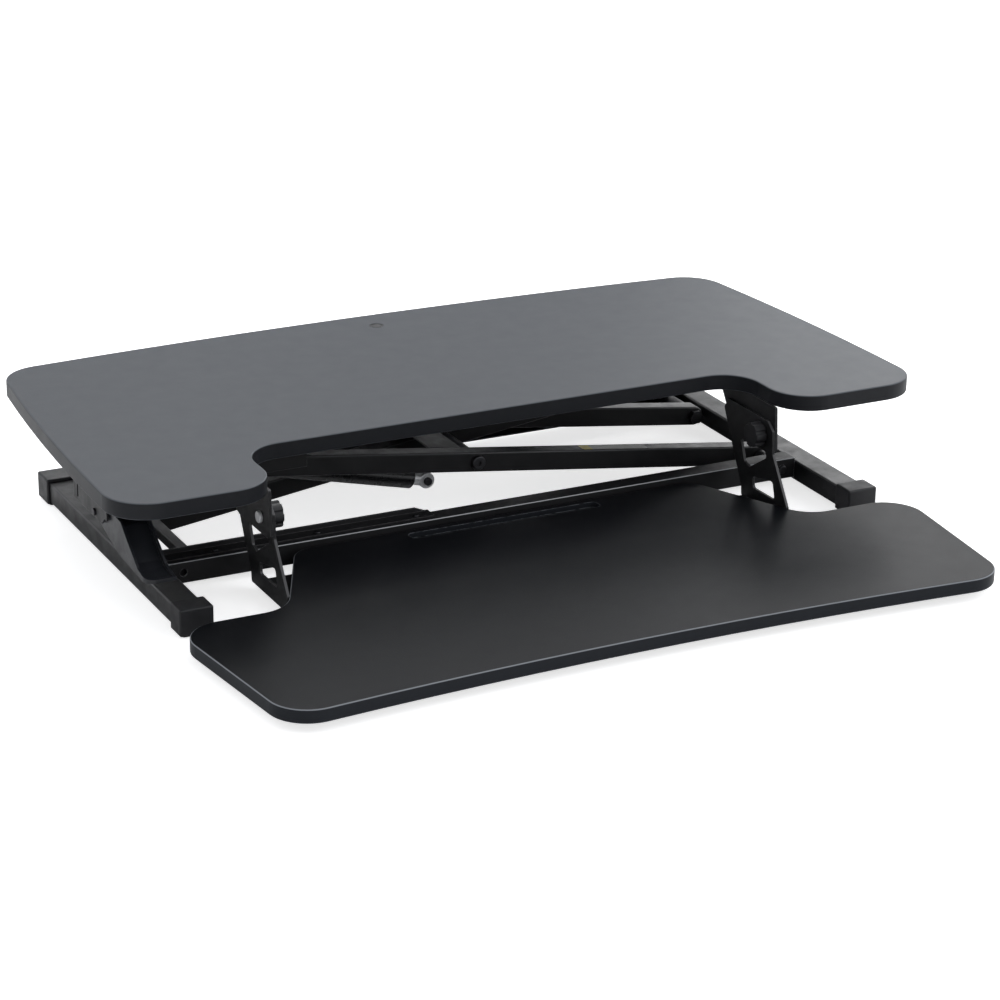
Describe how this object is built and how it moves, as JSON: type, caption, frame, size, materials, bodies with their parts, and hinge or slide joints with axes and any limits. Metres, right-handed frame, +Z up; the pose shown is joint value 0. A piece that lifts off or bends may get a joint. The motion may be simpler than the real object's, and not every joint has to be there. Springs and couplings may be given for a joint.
{
  "type": "standing desk converter",
  "caption": "Desktop riser with a scissor lift, gas spring, squeeze release lever and a lower tilting keyboard tray.",
  "frame": {"origin": "on the surface it stands on, under the centre of its bounding box, in its lowest position", "axes": "+X to the user's right, +Y away from the user, +Z up"},
  "size_m": [0.95, 0.7331, 0.148],
  "materials": {
    "black_plastic": "fine-textured moulded plastic",
    "black_steel": "satin black powder coat with fine texture",
    "black_tube": "satin black powder coat, brighter worn edges",
    "board_laminate": "matte dark grey laminate with a faint grain",
    "bright_steel": "bright zinc plate",
    "gas_black": "smooth black lacquer",
    "lever_plastic": "smooth satin moulded plastic",
    "nylon": "dark nylon",
    "pad_rubber": "matte black rubber",
    "rod_chrome": "polished hard chrome",
    "screw_steel": "dark zinc-plated steel",
    "tray_laminate": "matte near-black laminate with a faint grain"
  },
  "bodies": {
    "base": {"side_rail_right": "black_tube", "side_rail_left": "black_tube", "front_cap_right": "black_plastic", "front_cap_left": "black_plastic", "rear_cap_right": "black_plastic", "rear_cap_left": "black_plastic", "foot_pads": "pad_rubber", "base_channel_front": "black_steel", "base_channel_rear": "black_steel", "base_pivot_pins": "screw_steel", "base_pivot_nuts": "screw_steel", "base_pivot_sleeves": "nylon", "lock_rack": "black_steel", "rack_screws": "screw_steel"},
    "outer_arms": {"outer_arm_front": "black_tube", "outer_arm_rear": "black_tube", "centre_bolt": "screw_steel", "centre_nut": "screw_steel", "centre_sleeves": "nylon", "outer_arm_tie": "black_steel", "upper_slide_tube": "black_steel", "upper_slide_axle": "screw_steel", "rod_ears": "black_steel"},
    "inner_beam": {"inner_beam": "black_tube", "lower_cross_bar": "black_tube", "lower_stub_axles": "screw_steel", "upper_pivot_tube": "black_steel", "gas_spring_lug": "black_steel", "gas_spring_bolt": "screw_steel"},
    "desktop": {"desktop_board": "board_laminate", "cable_hole_plug": "black_plastic", "upper_track_front": "black_steel", "upper_track_rear": "black_steel", "upper_pivot_blocks": "nylon", "upper_pivot_bar": "screw_steel", "tray_hanger_right": "black_steel", "tray_hanger_left": "black_steel", "lever_bracket": "black_steel", "lever_pin": "screw_steel", "board_screws": "screw_steel", "track_screws": "screw_steel"},
    "tray": {"keyboard_tray": "tray_laminate", "tray_arm_right": "black_steel", "tray_arm_left": "black_steel", "tray_screws": "screw_steel"},
    "release_lever": {"release_lever": "lever_plastic"},
    "tray_knob_right": {"tray_knob_right": "black_plastic", "tray_clamp_bolt_right": "bright_steel"},
    "tray_knob_left": {"tray_knob_left": "black_plastic", "tray_clamp_bolt_left": "bright_steel"},
    "gas_cylinder": {"gas_cylinder": "gas_black", "gas_cylinder_seal": "nylon", "gas_lower_eye": "bright_steel"},
    "gas_rod": {"gas_rod": "rod_chrome", "gas_rod_eye": "bright_steel", "gas_rod_bolt": "screw_steel"},
    "rollers_lower": {"rollers_lower": "nylon"},
    "rollers_upper": {"rollers_upper": "nylon"},
    "lock_carriage": {"lock_carriage": "nylon"},
    "lock_latch": {"lock_latch": "screw_steel"}
  },
  "joints": [
    {"name": "lift", "type": "hinge", "parent": "base", "child": "outer_arms", "pos_m": [0.366, 0.144, 0.0195], "axis": [0, 1, 0], "range_deg": [0, 28]},
    {"name": "scissor_cross", "type": "hinge", "parent": "outer_arms", "child": "inner_beam", "pos_m": [0, 0.144, 0.06875], "axis": [0, 1, 0], "range_deg": [-56, 0]},
    {"name": "desktop_level", "type": "hinge", "parent": "inner_beam", "child": "desktop", "pos_m": [0.366, 0.144, 0.118], "axis": [0, 1, 0], "range_deg": [0, 28]},
    {"name": "carriage_level", "type": "hinge", "parent": "inner_beam", "child": "lock_carriage", "pos_m": [-0.366, 0.0413, 0.0195], "axis": [0, 1, 0], "range_deg": [0, 28]},
    {"name": "lever_squeeze", "type": "hinge", "parent": "desktop", "child": "release_lever", "pos_m": [-0.437, 0.027, 0.097], "axis": [-1, 0, 0], "range_deg": [0, 12], "stiffness_Nm_per_rad": 0.5},
    {"name": "latch_drop", "type": "hinge", "parent": "lock_carriage", "child": "lock_latch", "pos_m": [-0.351, 0.0358, 0.015], "axis": [0, 1, 0], "range_deg": [0, 9.6]},
    {"name": "gas_spring_swing", "type": "hinge", "parent": "inner_beam", "child": "gas_cylinder", "pos_m": [-0.0415, 0.109, 0.039], "axis": [0, 1, 0], "range_deg": [0, 57.7]},
    {"name": "gas_rod_extend", "type": "slide", "parent": "gas_cylinder", "child": "gas_rod", "axis": [-0.9716, 0, 0.2365], "range_m": [0, 0.047]},
    {"name": "tray_tilt", "type": "hinge", "parent": "desktop", "child": "tray", "pos_m": [0, -0.05, 0.094], "axis": [-1, 0, 0], "range_deg": [0, 8]},
    {"name": "knob_turn_right", "type": "hinge", "parent": "tray", "child": "tray_knob_right", "pos_m": [0.2895, -0.05, 0.094], "axis": [1, 0, 0], "continuous": true},
    {"name": "knob_turn_left", "type": "hinge", "parent": "tray", "child": "tray_knob_left", "pos_m": [-0.2895, -0.05, 0.094], "axis": [1, 0, 0], "continuous": true},
    {"name": "lower_rollers_roll", "type": "hinge", "parent": "inner_beam", "child": "rollers_lower", "pos_m": [-0.366, 0.144, 0.0195], "axis": [0, 1, 0], "continuous": true},
    {"name": "upper_rollers_roll", "type": "hinge", "parent": "outer_arms", "child": "rollers_upper", "pos_m": [-0.366, 0.144, 0.118], "axis": [0, 1, 0], "continuous": true}
  ],
  "couplings": [
    {"joint": "scissor_cross", "follows": "lift", "ratio": -2},
    {"joint": "desktop_level", "follows": "lift", "ratio": 1},
    {"joint": "carriage_level", "follows": "lift", "ratio": 1},
    {"joint": "gas_spring_swing", "follows": "lift", "ratio": 2.06},
    {"joint": "gas_rod_extend", "follows": "lift", "m_per_rad": 0.09603},
    {"joint": "latch_drop", "follows": "lever_squeeze", "ratio": 0.8}
  ]
}
